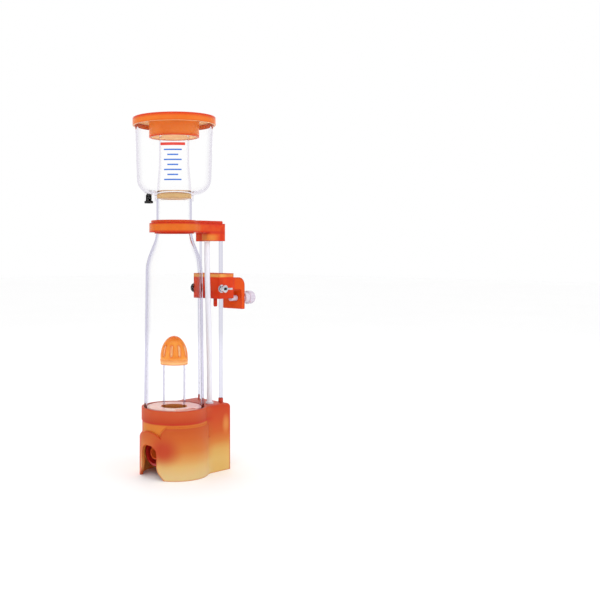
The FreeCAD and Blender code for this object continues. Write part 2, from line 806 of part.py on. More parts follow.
def cable_gland():
    """The motor's cable gland; the cord itself is left off."""
    gland = turned("gland_solid", [("0", "0"), ("gland_radius", "0"), ("gland_tip_radius", "gland_length"),
                                   ("0", "gland_length")], {2: "gland_round"},
                   ("motor_front + motor_length", "0", "pump_axis"), "X")
    hole = cylinder("gland_hole", "cord_radius", "gland_length",
                    ("motor_front + motor_length + overshoot", "0", "pump_axis"), "X")
    node(cut("cable_gland", gland, [hole]))


def rotor_parts():
    at_rotor = ("motor_front + rotor_gap", "0", "pump_axis")
    node(sleeve("rotor_magnet", "magnet_radius", "bore_radius", "magnet_length", at_rotor, "X"))
    hub = cylinder("wheel_hub", "wheel_hub_radius",
                   "motor_front + rotor_gap - volute_front - volute_wall - wheel_gap",
                   ("volute_front + volute_wall + wheel_gap", "0", "pump_axis"), "X")
    disc = cylinder("wheel_disc", "wheel_radius", "wheel_disc_height",
                    ("motor_front - wheel_disc_back", "0", "pump_axis"), "X")
    needles = []
    for ring, (radius, count) in enumerate(NEEDLE_RINGS):
        for i in range(count):
            angle = math.tau * i / count
            where = ("motor_front - needle_reach", "%.4f" % (radius * math.cos(angle)),
                     "pump_axis + %.4f" % (radius * math.sin(angle)))
            needles.append(cylinder("needle_%d_%d" % (ring, i), "needle_radius", "needle_length",
                                    where, "X"))
    bore = cylinder("wheel_bore", "bore_radius", "bore_reach", ("volute_front", "0", "pump_axis"), "X")
    node(cut("needle_wheel", fuse("wheel_solid", [hub, disc] + needles), [bore]))
    node(cylinder("rotor_shaft", "shaft_radius", "motor_front + well_length - shaft_short - volute_front",
                  ("volute_front", "0", "pump_axis"), "X"))
    front = sleeve("front_bush", "bush_radius - press_gap", "shaft_radius", "volute_wall",
                   ("volute_front", "0", "pump_axis"), "X")
    rear = sleeve("rear_bush", "rotor_well - socket_gap", "shaft_radius", "rear_bush_length",
                  ("motor_front + well_length - rear_bush_length", "0", "pump_axis"), "X")
    node(fuse("shaft_bushes", [front, rear]))


# --- rods and neck bracket ----------------------------------------------------------------------

def guide_rods():
    for name, radius, y in ferrule_places():
        node(cylinder(name + "_guide_rod", radius, "rod_top - rod_foot",
                      ("rod_position", y, "rod_foot")))


def bracket_tier(name, inset, foot, height):
    """One tier of the keyhole-shaped plate: a ring round the neck with an arm to the rods."""
    ring = cylinder(name + "_ring", "bracket_ring - %s" % inset, height, ("0", "0", foot))
    half = "(bracket_half - %s)" % inset
    end = "bracket_end - %s" % inset
    arm = plate(name + "_arm", [("0", "-" + half), (end, "-" + half), (end, half), ("0", half)],
                height, {1: "bracket_corner", 2: "bracket_corner"}, ("0", "0", foot))
    blend = fairing(name + "_fairing", "(bracket_ring - %s)" % inset, half, "bracket_fairing",
                    foot, height)
    return [ring, arm, blend]


def neck_bracket():
    tiers = bracket_tier("bracket_low", "0", "bracket_foot", "bracket_step - bracket_foot")
    tiers += bracket_tier("bracket_high", "bracket_inset", "bracket_step",
                          "bracket_top - bracket_step")
    lip = cylinder("bracket_lip_ring", "bracket_lip", "bracket_lip_height",
                   ("0", "0", "bracket_foot - bracket_lip_height"))
    block = plate("bracket_block", [
        ("bracket_pad_near", "-bracket_half"), ("bracket_end", "-bracket_half"),
        ("bracket_end", "bracket_half"), ("bracket_pad_far", "bracket_half"),
        ("bracket_pad_far", "-bracket_pad_split"), ("bracket_pad_boss", "-bracket_pad_split")],
        "bracket_foot - bracket_block_foot",
        {0: "bracket_pad_round", 1: "bracket_corner", 2: "bracket_corner", 3: "bracket_pad_end_round",
         4: "bracket_pad_inner_round", 5: "bracket_pad_round"},
        ("0", "0", "bracket_block_foot"))
    solid = softened("bracket_soft", fuse("bracket_solid", tiers + [block, lip]), "bracket_edge",
                     "bracket_top")
    neck = cylinder("bracket_neck_bore", "bracket_bore", "bracket_top",
                    ("0", "0", "bracket_block_foot"))
    neck_foot = cylinder("bracket_neck_relief", "bracket_bore + bracket_relief", "bracket_relief_height",
                         ("0", "0", "bracket_foot + overshoot - bracket_relief_height"))
    start = "bracket_block_foot - overshoot"
    sockets = [cylinder("bracket_socket_" + name, radius + " + rod_gap",
                        "rod_top + rod_top_gap - (%s)" % start, ("rod_position", y, start))
               for name, radius, y in ferrule_places()]
    hose_at = ("hose_head_x", "hose_head_y", start)
    hose = cylinder("bracket_hose_socket", "hose_radius + fit_gap",
                    "hose_head + barb_flange_height + fit_gap - (%s)" % start, hose_at)
    air = cylinder("bracket_air_way", "barb_radius + fit_gap", "bracket_top", hose_at)
    node(cut("neck_bracket", solid, [neck, neck_foot, hose, air] + sockets))


# --- air hose -----------------------------------------------------------------------------------

def route(points):
    """Straight runs joined by tangent arcs through the route's points."""
    vectors = [FreeCAD.Vector(*point) for point in points]
    edges = []
    start = vectors[0]
    for before, corner, after in zip(vectors, vectors[1:], vectors[2:]):
        arriving = (corner - before).normalize()
        leaving = (after - corner).normalize()
        turn = arriving.getAngle(leaving)
        shorter = min((corner - before).Length, (after - corner).Length)
        setback = ROUTE_SHARE * shorter
        radius = setback / math.tan(turn / 2)
        first = corner - arriving * setback
        last = corner + leaving * setback
        inward = (leaving - arriving).normalize()
        middle = corner + inward * (radius / math.cos(turn / 2) - radius)
        edges.append(Part.LineSegment(start, first).toShape())
        edges.append(Part.Arc(first, middle, last).toShape())
        print("hose bend radius %.1f mm" % radius)
        start = last
    edges.append(Part.LineSegment(start, vectors[-1]).toShape())
    return Part.Wire(edges)


def hose(name, points, outer, bore):
    """A hollow hose along a route; its section is square to the first run."""
    path = route(points)
    begin = FreeCAD.Vector(*points[0])
    heading = (FreeCAD.Vector(*points[1]) - begin).normalize()
    sweeps = []
    for radius in (outer, bore):
        section = Part.Wire([Part.makeCircle(radius, begin, heading)])
        sweeps.append(path.makePipeShell([section], True, True))
    feature = doc.addObject("Part::Feature", name)
    feature.Shape = sweeps[0].cut(sweeps[1])
    feature.Placement = FreeCAD.Placement()
    expected = math.pi * (outer ** 2 - bore ** 2) * path.Length
    print("%s: length %.1f mm, volume %.1f of %.1f" % (name, path.Length, feature.Shape.Volume,
                                                        expected))
    node(feature)


def air_hoses():
    foot = [sheet.get("hose_foot_x"), sheet.get("hose_foot_y")]
    head = [sheet.get("hose_head_x"), sheet.get("hose_head_y")]
    outer = sheet.get("hose_radius")
    bore = sheet.get("hose_bore")
    low = sheet.get("hose_foot")
    high = sheet.get("hose_head")
    hose("air_hose", [foot + [low], foot + [low + 36], [38.3, -12.4, low + 82], [37.6, -11.5, low + 122],
                      head + [high - 30], head + [high]], outer, bore)
    port = [sheet.get("port_position"), 0.0]
    hose("inner_air_hose", [foot + [60.6], foot + [50.4], [29.0, -19.5, 48.6], [13.0, -20.5, 50.5],
                            [-3.0, -19.0, 53.0], [-14.0, -13.0, 55.6], [-20.5, -3.0, 55.0],
                            port + [48.4], port + [41.0]], sheet.get("inner_hose_radius"), bore)


def hose_barbs():
    """The two hollow fittings that the outer hose is pushed onto."""
    lower_at = ("hose_foot_x", "hose_foot_y", "barb_foot")
    stem = cylinder("lower_barb_stem", "barb_radius", "hose_foot + barb_reach - barb_foot", lower_at)
    body = cylinder("lower_barb_body", "barb_body_radius", "base_height - barb_body_foot",
                    ("hose_foot_x", "hose_foot_y", "barb_body_foot"))
    foot = cylinder("lower_barb_flange", "barb_flange_radius", "hose_foot - base_height",
                    ("hose_foot_x", "hose_foot_y", "base_height"))
    bore = cylinder("lower_barb_bore", "barb_bore", "bore_reach", lower_at)
    node(cut("lower_hose_barb", fuse("lower_barb_solid", [stem, body, foot]), [bore]))
    upper_at = ("hose_head_x", "hose_head_y", "hose_head - upper_barb_reach")
    stem = cylinder("upper_barb_stem", "barb_radius",
                    "bracket_top + upper_barb_lip - hose_head + upper_barb_reach", upper_at)
    flange = cylinder("upper_barb_flange", "hose_radius", "barb_flange_height",
                      ("hose_head_x", "hose_head_y", "hose_head"))
    bore = cylinder("upper_barb_bore", "barb_bore", "bore_reach", upper_at)
    node(cut("upper_hose_barb", fuse("upper_barb_solid", [stem, flange]), [bore]))


# --- tank clamp ---------------------------------------------------------------------------------

def clamp_slider():
    """The block that slides on both rods, and the hook over the tank's glass, in one moulding."""
    block = plate("slider_block", [("slider_near", "-slider_half"), ("slider_far", "-slider_half"),
                                   ("slider_far", "slider_back"), ("slider_near", "slider_back")],
                  "slider_top - slider_foot", {i: "slider_edge" for i in range(4)},
                  ("0", "0", "slider_foot"))
    hook = plate("slider_hook", [("slider_far - hook_root", "jaw_bridge"), ("jaw_inner", "jaw_bridge"),
                                 ("jaw_inner", "jaw_foot"), ("jaw_outer", "jaw_foot"),
                                 ("jaw_outer", "jaw_top"), ("slider_far - hook_root", "jaw_top")],
                 "jaw_width", {1: "hook_inner_round", 3: "slider_edge", 2: "slider_edge", 4: "jaw_round"},
                 ("0", "jaw_left", "0"), "XZ_Plane")
    tab = box("slider_tab", "tab_thickness", "2 * tab_half", "slider_foot + overshoot - tab_foot - tab_half",
              ("slider_far - tab_thickness", "tab_y - tab_half", "tab_foot + tab_half"))
    tab_tip = cylinder("slider_tab_tip", "tab_half", "tab_thickness",
                       ("slider_far - tab_thickness", "tab_y", "tab_foot + tab_half"), "X")
    solid = fuse("slider_solid", [block, hook, tab, tab_tip])
    rim = plate("slider_rim_pocket", [("slider_near + slider_rim_wall", "slider_rim_wall - slider_half"),
                ("slider_far - slider_rim_wall", "slider_rim_wall - slider_half"),
                ("slider_far - slider_rim_wall", "slider_back - slider_rim_wall"),
                ("slider_near + slider_rim_wall", "slider_back - slider_rim_wall")], "slider_rim + overshoot",
                at=("0", "0", "slider_top - slider_rim"))
    hollow = box("slider_hollow", "slider_far - slider_wall - rod_position - slider_rod_wall",
                 "slider_half + slider_back - 2 * slider_wall", "slider_hollow_height + overshoot",
                 ("rod_position + slider_rod_wall", "slider_wall - slider_half", "slider_foot - overshoot"))
    notch = box("slider_notch", "slider_notch_depth + fit_gap", "slider_notch_width",
                "slider_notch_height + fit_gap",
                ("slider_near - fit_gap", "-slider_notch_start", "slider_foot - fit_gap"))
    rods = [cylinder("slider_rod_hole_" + name, radius + " + fit_gap", "slider_top",
                     ("rod_position", y, "slider_foot - overshoot"))
            for name, radius, y in ferrule_places()]
    bolt = cylinder("slider_bolt_hole", "bolt_radius + socket_gap",
                    "slider_half + slider_back + 2 * overshoot",
                    ("bolt_x", "-slider_half - overshoot", "bolt_z"), "Y")
    screw = cylinder("slider_screw_hole", "screw_radius + screw_gap",
                     "jaw_outer - jaw_inner + 2 * overshoot",
                     ("jaw_inner - overshoot", "screw_y", "screw_z"), "X")
    node(cut("clamp_slider", solid, [rim, hollow, notch, bolt, screw] + rods))


def clamp_fasteners():
    length = "slider_half + slider_back + bolt_end"
    shank = cylinder("bolt_shank", "bolt_radius", length,
                     ("bolt_x", "slider_back - (%s)" % length, "bolt_z"), "Y")
    head = turned("bolt_head", [("0", "0"), ("bolt_head_radius", "0"),
                                ("bolt_head_radius", "bolt_head_height"), ("0", "bolt_head_height")],
                  {2: "bolt_head_round"}, ("bolt_x", "slider_back", "bolt_z"), "Y")
    socket = doc.addObject("Part::Prism", "bolt_socket")
    socket.Polygon = 6
    socket.setExpression("Circumradius", formula("bolt_radius"))
    socket.setExpression("Height", formula("bolt_head_height"))
    place(socket, ("bolt_x", "slider_back + bolt_socket_floor", "bolt_z"), "Y")
    node(cut("clamp_bolt", fuse("bolt_solid", [shank, head]), [socket]))
    node(sleeve("clamp_washer", "washer_radius", "bolt_radius + socket_gap", "washer_height",
                ("bolt_x", "-slider_half - washer_height", "bolt_z"), "Y"))
    seat = "-slider_half - washer_height - fit_gap"
    hub = turned("nut_hub", [("bolt_radius + socket_gap", "0"), ("nut_radius + nut_flare", "0"),
                             ("nut_radius - nut_taper", "nut_length"),
                             ("bolt_radius + socket_gap", "nut_length")], {2: "nut_round"},
                 ("bolt_x", seat + " - nut_length", "bolt_z"), "Y")
    wings = []
    for side in (1, -1):
        corners = [("%s" % (side * float(a)), "-%s" % b) for a, b in WING_OUTLINE]
        wing = plate("nut_wing_%s" % ("right" if side > 0 else "left"), corners, "wing_thickness",
                     {2: "wing_tip_round", 3: "wing_heel_round"},
                     ("bolt_x", seat, "bolt_z - wing_thickness / 2"))
        wings.append(wing)
    node(fuse("wing_nut", [hub] + wings))


def thumb_screw():
    shank_start = "(screw_tip_x + screw_tip_length + socket_gap)"
    shank_end = "knob_x - " + shank_start
    screw = turned("thumb_screw_solid", [
        ("0", "0"), ("screw_radius", "0"), ("screw_radius", shank_end),
        ("knob_collar_radius", shank_end), ("knob_collar_radius", shank_end + " + knob_collar_length"),
        ("knob_radius", shank_end + " + knob_collar_length"),
        ("knob_radius", shank_end + " + knob_collar_length + knob_length"),
        ("0", shank_end + " + knob_collar_length + knob_length")],
        {1: "screw_edge", 3: "knob_edge", 5: "knob_edge", 6: "knob_end_round"},
        (shank_start, "screw_y", "screw_z"), "X")
    grips = []
    for i in range(KNOB_GRIPS):
        angle = math.tau * (i + 0.5) / KNOB_GRIPS
        where = ("knob_x + knob_collar_length + grip_out",
                 "screw_y + (knob_radius + grip_out) * %.6f" % math.cos(angle),
                 "screw_z + (knob_radius + grip_out) * %.6f" % math.sin(angle))
        grips.append(cylinder("knob_grip_%d" % i, "grip_radius", "knob_length", where, "X"))
    node(cut("thumb_screw", screw, grips))
    node(turned("screw_tip", [("0", "0"), ("screw_radius", "0"), ("screw_radius", "screw_tip_length"),
                               ("0", "screw_tip_length")], {1: "screw_tip_round"},
                ("screw_tip_x", "screw_y", "screw_z"), "X"))


# --- collection cup -----------------------------------------------------------------------------

def collection_cup():
    corners = [("collar_bore", "collar_foot"), ("collar_radius", "collar_foot"),
               ("collar_radius", "cup_foot"), ("cup_low_radius", "cup_foot"),
               ("cup_top_radius", "cup_top"), ("cup_top_radius - cup_wall", "cup_top"),
               ("cup_low_radius - cup_wall", "cup_foot + cup_floor"),
               ("riser_foot_radius + socket_gap", "cup_foot + cup_floor"),
               ("riser_foot_radius + socket_gap", "cup_foot + collar_step"),
               ("collar_bore", "cup_foot + collar_step")]
    bowl = turned("cup_bowl", corners,
                  {2: "collar_round", 3: "cup_round", 4: "cup_rim_round", 6: "cup_round - cup_wall"})
    angle = math.radians(DRAIN_ANGLE)
    spot = ("drain_ring * %.6f" % math.cos(angle), "drain_ring * %.6f" % math.sin(angle))
    start = spot + ("drain_foot",)
    boss = cylinder("drain_boss", "drain_radius", "cup_foot + drain_boss_bite - drain_foot", start)
    hole = cylinder("drain_hole", "drain_bore", "cup_foot - drain_foot + drain_hole_reach", start)
    node(cut("collection_cup", fuse("cup_solid", [bowl, boss]), [hole]))
    plug = [("0", "0"), ("plug_flange", "0"), ("plug_flange", "plug_flange_height"),
            ("plug_radius", "plug_flange_height"), ("plug_radius", "plug_length"), ("0", "plug_length")]
    node(turned("drain_plug", plug, {1: "plug_flange_edge", 2: "plug_shoulder_round", 4: "plug_tip_round"},
                spot + ("drain_foot - plug_flange_height - fit_gap",)))


def riser_tube():
    corners = [("riser_foot_radius", "riser_foot"), ("riser_radius", "riser_flare_top"),
               ("riser_radius", "riser_top"), ("riser_radius - riser_wall", "riser_top"),
               ("riser_radius - riser_wall", "riser_flare_top"),
               ("riser_foot_radius - riser_wall", "riser_foot")]
    node(turned("riser_tube", corners, {2: "riser_lip_round", 3: "riser_lip_round"}))
    node(turned("cup_seal_ring", [("seal_bore", "seal_foot"), ("seal_radius", "seal_foot"),
                                  ("seal_radius", "riser_foot"), ("seal_bore", "riser_foot")],
                {0: "seal_edge", 1: "seal_foot_round", 3: "seal_edge"}))


def cup_lid():
    """A cap over the cup's rim, with a short skirt hanging round the riser's mouth."""
    corners = [("0", "lid_top"), ("lid_radius", "lid_top"), ("lid_radius", "lid_foot"),
               ("lid_rim_bore", "lid_foot"), ("lid_rim_bore", "lid_top - lid_plate"),
               ("lid_skirt_radius", "lid_top - lid_plate"), ("lid_skirt_radius", "lid_skirt_foot"),
               ("lid_skirt_radius - lid_skirt_wall", "lid_skirt_foot"),
               ("lid_skirt_radius - lid_skirt_wall", "lid_top - lid_plate"),
               ("0", "lid_top - lid_plate")]
    node(turned("cup_lid", corners, {1: "lid_top_round", 2: "lid_rim_round", 5: "lid_skirt_root_round",
                                     6: "lid_skirt_edge"}))


def check_document():
    """Stop if anything in the document failed, or a sub-part isn't a sound solid."""
    doc.recompute()
    for feature in doc.Objects:
        if "Invalid" in feature.State or "Error" in feature.State:
            raise RuntimeError("failed: %s %s" % (feature.Name, feature.State))
    for feature in NODES:
        shape = feature.Shape
        if shape.isNull() or not shape.isValid() or not shape.Solids:
            raise RuntimeError("not a sound solid: " + feature.Label)


def export_parts():
    os.makedirs("parts", exist_ok=True)
    for feature in NODES:
        feature.Shape.exportStep(os.path.join("parts", feature.Label + ".step"))
        box_of = feature.Shape.BoundBox
        print("%-18s %2d solid(s) %9.1f mm3  x %6.1f %6.1f  y %6.1f %6.1f  z %6.1f %6.1f" % (
            feature.Label, len(feature.Shape.Solids), feature.Shape.Volume, box_of.XMin, box_of.XMax,
            box_of.YMin, box_of.YMax, box_of.ZMin, box_of.ZMax))


for make in (base_housing, rod_ferrules, reaction_chamber, bubble_tube, diffuser_cap, volute_housing,
             intake_collar, venturi_nozzle, pump_motor_body, cable_gland, rotor_parts, guide_rods,
             neck_bracket, air_hoses, hose_barbs, clamp_slider, clamp_fasteners, thumb_screw,
             collection_cup, riser_tube, cup_lid):
    make()
doc.removeObject(scratch.Name)
check_document()
export_parts()
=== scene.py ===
import json
import math

import bpy
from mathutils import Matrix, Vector


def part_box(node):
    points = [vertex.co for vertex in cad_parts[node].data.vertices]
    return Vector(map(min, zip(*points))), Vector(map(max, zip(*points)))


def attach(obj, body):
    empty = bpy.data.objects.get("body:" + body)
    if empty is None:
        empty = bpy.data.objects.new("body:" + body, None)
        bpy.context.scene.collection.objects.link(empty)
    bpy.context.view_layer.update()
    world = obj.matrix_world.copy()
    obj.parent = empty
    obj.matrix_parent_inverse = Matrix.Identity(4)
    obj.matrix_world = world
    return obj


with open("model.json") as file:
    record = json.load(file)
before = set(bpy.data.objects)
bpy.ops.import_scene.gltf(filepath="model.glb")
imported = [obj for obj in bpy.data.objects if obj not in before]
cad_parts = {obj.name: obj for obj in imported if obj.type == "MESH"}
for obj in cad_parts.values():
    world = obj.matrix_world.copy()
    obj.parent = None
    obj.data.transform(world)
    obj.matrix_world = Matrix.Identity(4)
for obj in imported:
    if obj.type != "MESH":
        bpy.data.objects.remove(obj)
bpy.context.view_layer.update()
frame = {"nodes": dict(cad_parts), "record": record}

NODES = frame["nodes"]

# Lengths are in metres in the CAD frame. A pair of lengths is where a soft change starts and ends.

# The camera: level, 42 degrees round the object, with its view shifted so that the object is at the left.
CAMERA_AZIMUTH = 318.0
CAMERA_DISTANCE = 0.930
CAMERA_HEIGHT = 0.232
FRAME_WIDTH = 36.0
LENS = 53.4
SHIFT_RIGHT = 0.2098
SHIFT_UP = -0.0817

# The stage. Each lamp is given by its name, place, size and power.
LAMPS = (
    ("key", (-0.9, -0.7, 0.9), 0.6, 3.4),
    ("fill", (0.6, -1.1, 0.5), 0.7, 1.4),
    ("back", (0.9, 0.9, 0.8), 0.7, 1.6),
)
LAMP_AIM = (0.0, 0.0, 0.18)
FLOOR_HALF = 6.0
FLOOR_GRAIN = 3.0
FLOOR_ROUGHNESS = 0.8
CLEAR_BOUNCES = 24
TRANSPARENT_BOUNCES = 16
PLAIN_BOUNCES = 6

# The print on the cup: a plain level scale. Widths are half angles round the cup, in degrees.
PRINT_AZIMUTH = 226.0
PRINT_THICKNESS = 0.00015
PRINT_LOW = 0.303
PRINT_STEP = 0.005
PRINT_TICKS = 7
PRINT_BAR = 0.0014
PRINT_SIDES = 12
PRINT_LONG = 13.0
PRINT_SHORT = 8.0
PRINT_FULL = 18.0
CUP_TAPER = 0.0369

# Colours that stand for themselves.
WHITE = (1.0, 1.0, 1.0, 1.0)
BLACK = (0.0, 0.0, 0.0, 1.0)

# Shading that several finishes share.
BEVEL_SAMPLES = 6
EDGE_TURN = (0.998, 0.9)
FLECKS = (0.3, 0.7)
SOFT_EDGE = 0.0010
RELIEF_DEPTH = 0.0003
SCATTER_DEPTH = 0.002
LOOKS_DOWN = (-0.4, -0.9)
LOOKS_OUT = (-0.05, 0.05)

# Clear acrylic. A gloss spread is the lowest and the highest share of the roughness.
CLEAR_IOR = 1.03
CLEAR_COAT = 0.1
CLEAR_GRAIN = 55.0
CLEAR_SPREAD = (0.4, 1.6)
POLISHED = 0.02

# Tinted orange mouldings.
TINT_IOR = 1.2
TINT_SPECULAR = 0.35
TINT_EDGE = 0.0024
TINT_EDGE_SHARE = 0.9
TINT_GRAIN = 90.0
TINT_SPREAD = (0.8, 1.25)
TINT_RELIEF_GRAIN = 220.0
TINT_RELIEF = 0.05

# Milky plastic and silicone.
MILK_IOR = 1.25
MILK_TURN = (0.35, 0.95)
MILK_LIGHTER = 1.03
MILK_FLECKS = 60.0
MILK_GRAIN = 80.0
MILK_RELIEF_GRAIN = 150.0
MILK_RELIEF = 0.01

# Plain finishes: the flecks are coarser than the grain by a share.
MOTTLE_SHARE = 0.35
EVEN_SPREAD = (0.8, 1.2)

# The lid: depths below its top, heights above its foot, and radii.
LID_TOP_RED = (0.0046, 0.0010)
LID_FOOT_RED = (0.004, 0.0005)
LID_SKIRT_RADIUS = (0.031, 0.029)
LID_BRIM_RADIUS = (0.0268, 0.0275)
LID_CAVITY_RADIUS = (0.0246, 0.0240)
LID_CAVITY_DEPTH = (0.001, 0.002)

# The diffuser cap: heights above its foot and depths below its top.
CAP_FOOT_PALE = (0.008, 0.002)
CAP_TOP_RED = (0.007, 0.0)
CAP_FLECKS = 120.0

# The neck bracket: depths below its top and distances back from the chamber's axis.
BRACKET_PLATE = 0.0127
BRACKET_RIM = 0.003
BRACKET_EDGE_RISE = 0.0004
BRACKET_BAND = (0.0022, 0.0006)
BRACKET_BACK = (0.006, 0.030)
BRACKET_PAD_DEPTH = (0.0005, 0.004)
BRACKET_PAD_BACK = (0.050, 0.036)
BRACKET_FLECKS = 60.0
BRACKET_BACK_FLECKS = 110.0

# The clamp's slider: distances back from the chamber's axis and depths below its top.
SLIDER_JAW = (0.0695, 0.0715)
SLIDER_NEAR = (0.060, 0.050)
SLIDER_RIM_DEPTH = (0.0044, 0.0036)
SLIDER_RIM_FAR = 0.55
SLIDER_FLECKS = 70.0

# The base, outside: a collar and drum below it, a painted red glow near the mouth and a painted highlight
# on the block where the light gathers.
BASE_WAVER = 0.02
BASE_WAVER_GRAIN = 28.0
BASE_BACK = (0.020, 0.034)
BASE_DRUM_RADIUS = (0.0352, 0.0338)
BASE_DRUM_TOP = (0.0565, 0.0545)
RED_GLOW_PLACE = (-0.0300, -0.0170, 0.0300)
RED_GLOW_SHAPE = (0.8, 0.8, 0.9)
RED_GLOW_REACH = (0.0180, 0.0030)
HIGHLIGHT_PLACE = (0.0500, -0.0265, 0.0490)
HIGHLIGHT_SHAPE = (1.2, 1.0, 0.6)
HIGHLIGHT_REACH = (0.0080, 0.0010)
CORNER_BACK = (0.0540, 0.0565)
CORNER_OUT = (0.0215, 0.0240)
BASE_EDGE = 0.0022
JAMB_SIDE = (0.0115, 0.0160)
JAMB_FRONT = (-0.0180, -0.0250)

# The base, inside: the chamber's floor round the well that the bubble tube stands in.
FLOOR_OUTER = (0.0295, 0.0285)
FLOOR_INNER = (0.0135, 0.0139)
FLOOR_HEIGHT = (0.0615, 0.0625)
FLOOR_BACK = (-0.015, 0.025)
FLOOR_FLECKS = 60.0
WELL_RADIUS = (0.0139, 0.0136)
WELL_HEIGHT = (0.058, 0.060)

# The base's plastic.
BASE_IOR = 1.3
BASE_TRANSMISSION = 0.2
BASE_SPECULAR = 0.3
# Strength of the painted glow on the chamber's floor.
FLOOR_PAINTED_GLOW = 0.2
BASE_SCATTER = 0.25
BASE_SCATTER_RADIUS = (1.0, 0.35, 0.12)
BASE_GLOSS_GRAIN = 120.0
BASE_GLOSS = (0.42, 0.55)
BASE_INSIDE_GLOSS = 0.12
BASE_RELIEF_GRAIN = 900.0
BASE_RELIEF = 0.1
BASE_RELIEF_DEPTH = 0.0002


# --- helpers ------------------------------------------------------------------------------------

def srgb(red, green, blue):
    """A colour given as it looks on a screen, 0 to 255, as the shader's linear colour."""
    def linear(channel):
        c = channel / 255
        return c / 12.92 if c <= 0.04045 else ((c + 0.055) / 1.055) ** 2.4
    return (linear(red), linear(green), linear(blue), 1.0)


def below(top, depths):
    """Heights that are some depths below a top."""
    return [top - depth for depth in depths]


def above(foot, heights):
    """Heights that are some way above a foot."""
    return [foot + height for height in heights]


def blank_material(name):
    """A material with one principled shader, its node tree and the shader."""
    material = bpy.data.materials.new(name)
    material.use_nodes = True
    tree = material.node_tree
    tree.nodes.clear()
    output = tree.nodes.new("ShaderNodeOutputMaterial")
    shader = tree.nodes.new("ShaderNodeBsdfPrincipled")
    tree.links.new(shader.outputs["BSDF"], output.inputs["Surface"])
    return material, tree, shader


def object_position(tree):
    """The point on the surface, in metres in the frame."""
    place = tree.nodes.new("ShaderNodeTexCoord")
    return place.outputs["Object"]


def axis_place(tree, axis):
    """The point's place along X, Y or Z."""
    split = tree.nodes.new("ShaderNodeSeparateXYZ")
    tree.links.new(object_position(tree), split.inputs["Vector"])
    return split.outputs[axis]


def distance_from(tree, point, scale):
    """How far the surface is from a point; a scale of 0 on an axis leaves that axis out."""
    mapping = tree.nodes.new("ShaderNodeMapping")
    mapping.inputs["Scale"].default_value = scale
    mapping.inputs["Location"].default_value = [-p * k for p, k in zip(point, scale)]
    tree.links.new(object_position(tree), mapping.inputs["Vector"])
    length = tree.nodes.new("ShaderNodeVectorMath")
    length.operation = "LENGTH"
    tree.links.new(mapping.outputs["Vector"], length.inputs[0])
    return length.outputs["Value"]


def from_axis(tree):
    """How far the surface is from the chamber's upright axis."""
    return distance_from(tree, (0, 0, 0), (1, 1, 0))


def from_level(tree, height):
    """How far the surface is above or below a level."""
    return distance_from(tree, (0, 0, height), (0, 0, 1))


def from_middle(tree):
    """How far the surface is to either side of the middle plane."""
    return distance_from(tree, (0, 0, 0), (0, 1, 0))


def noise(tree, scale, detail=3.0, roughness=0.5, stretch=None):
    """A 0 to 1 texture that is fixed to the object."""
    texture = tree.nodes.new("ShaderNodeTexNoise")
    texture.inputs["Scale"].default_value = scale
    texture.inputs["Detail"].default_value = detail
    texture.inputs["Roughness"].default_value = roughness
    source = object_position(tree)
    if stretch:
        mapping = tree.nodes.new("ShaderNodeMapping")
        mapping.inputs["Scale"].default_value = stretch
        tree.links.new(source, mapping.inputs["Vector"])
        source = mapping.outputs["Vector"]
    tree.links.new(source, texture.inputs["Vector"])
    return texture.outputs["Fac"]


def between(tree, value, low, high):
    """A 0 to 1 value spread over another range."""
    spread = tree.nodes.new("ShaderNodeMapRange")
    spread.inputs["To Min"].default_value = low
    spread.inputs["To Max"].default_value = high
    tree.links.new(value, spread.inputs["Value"])
    return spread.outputs["Result"]


def eased(tree, value, start, end, strength=1.0):
    """0 before start and strength after end, with a soft step between; start may be above end."""
    step = tree.nodes.new("ShaderNodeMapRange")
    step.interpolation_type = "SMOOTHSTEP"
    step.inputs["From Min"].default_value = min(start, end)
    step.inputs["From Max"].default_value = max(start, end)
    step.inputs["To Min"].default_value = 0.0 if start < end else strength
    step.inputs["To Max"].default_value = strength if start < end else 0.0
    tree.links.new(value, step.inputs["Value"])
    return step.outputs["Result"]


def combined(tree, operation, first, second):
    """Two values joined by a sum or a product."""
    node = tree.nodes.new("ShaderNodeMath")
    node.operation = operation
    tree.links.new(first, node.inputs[0])
    tree.links.new(second, node.inputs[1])
    return node.outputs["Value"]


def product(tree, first, second):
    return combined(tree, "MULTIPLY", first, second)


def dot_product(tree, first, second):
    dot = tree.nodes.new("ShaderNodeVectorMath")
    dot.operation = "DOT_PRODUCT"
    tree.links.new(first, dot.inputs[0])
    tree.links.new(second, dot.inputs[1])
    return dot.outputs["Value"]


def colour_steps(tree, value, steps):
    """A colour ramp: steps are (place from 0 to 1, colour)."""
    ramp = tree.nodes.new("ShaderNodeValToRGB")
    elements = ramp.color_ramp.elements
    while len(elements) < len(steps):
        elements.new(0.5)
    for element, (place, colour) in zip(elements, steps):
        element.position = place
        element.color = colour
    tree.links.new(value, ramp.inputs["Fac"])
    return ramp.outputs["Color"]


def two_tone(tree, first, second, scale=40.0):
    """Two near colours in soft flecks."""
    return colour_steps(tree, noise(tree, scale, detail=2.0), list(zip(FLECKS, (first, second))))


def mixed(tree, share, first, second):
    """Two colours, sockets or plain, mixed by a 0 to 1 value."""
    node = tree.nodes.new("ShaderNodeMix")
    node.data_type = "RGBA"
    colour_inputs = [socket for socket in node.inputs if socket.type == "RGBA"]
    colour_output = [socket for socket in node.outputs if socket.type == "RGBA"][0]
    tree.links.new(share, node.inputs["Factor"])
    for socket, colour in zip(colour_inputs, (first, second)):
        if isinstance(colour, tuple):
            socket.default_value = colour
        else:
            tree.links.new(colour, socket)
    return colour_output


def bevel_normal(tree, radius):
    """The surface's direction with sharp edges rounded over a radius."""
    bevel = tree.nodes.new("ShaderNodeBevel")
    bevel.samples = BEVEL_SAMPLES
    bevel.inputs["Radius"].default_value = radius
    return bevel.outputs["Normal"]


